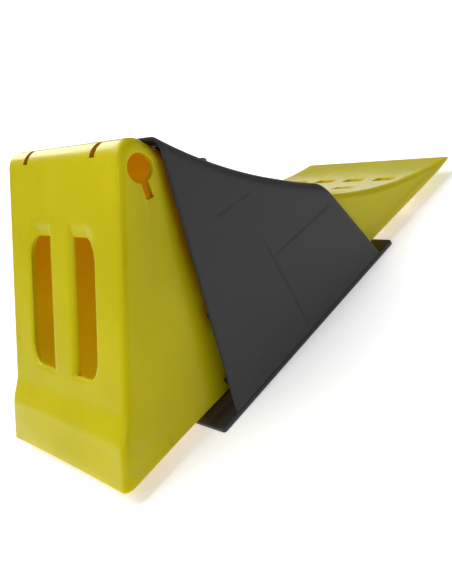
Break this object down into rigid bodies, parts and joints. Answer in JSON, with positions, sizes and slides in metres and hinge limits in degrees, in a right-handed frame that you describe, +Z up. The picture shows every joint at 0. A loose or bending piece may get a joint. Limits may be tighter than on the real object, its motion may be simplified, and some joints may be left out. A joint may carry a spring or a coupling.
{
  "type": "wheel chock",
  "caption": "Hollow wedge chock for a truck or trailer wheel, with a hand grip in its back, stored in a slide-in sleeve on a base plate with a sprung tongue.",
  "frame": {"origin": "centre of the footprint, on the base plate's underside", "axes": "+X towards the chock's thin tip, +Y to the left seen from the grip, +Z up"},
  "size_m": [0.47, 0.2388, 0.2291],
  "materials": {
    "yellow_plastic": "smooth moulded polyethylene with a soft gloss",
    "dark_grey_plastic": "satin moulded polypropylene",
    "dark_grey_plate": "satin moulded polypropylene",
    "dark_grey_tongue": "satin moulded polypropylene"
  },
  "bodies": {
    "holder": {"holder_base_plate": "dark_grey_plate", "holder_sleeve": "dark_grey_plastic"},
    "chock": {"chock_body": "yellow_plastic"},
    "latch": {"latch_tongue": "dark_grey_tongue"}
  },
  "joints": [
    {"name": "chock_slide", "type": "slide", "parent": "holder", "child": "chock", "axis": [-1, 0, 0], "range_m": [0, 0.385]},
    {"name": "latch_flex", "type": "hinge", "parent": "holder", "child": "latch", "pos_m": [-0.05441, -0.0835, 0.20665], "axis": [0, -1, 0], "range_deg": [0, 12], "stiffness_Nm_per_rad": 1.5, "springref_deg": -2.86}
  ]
}
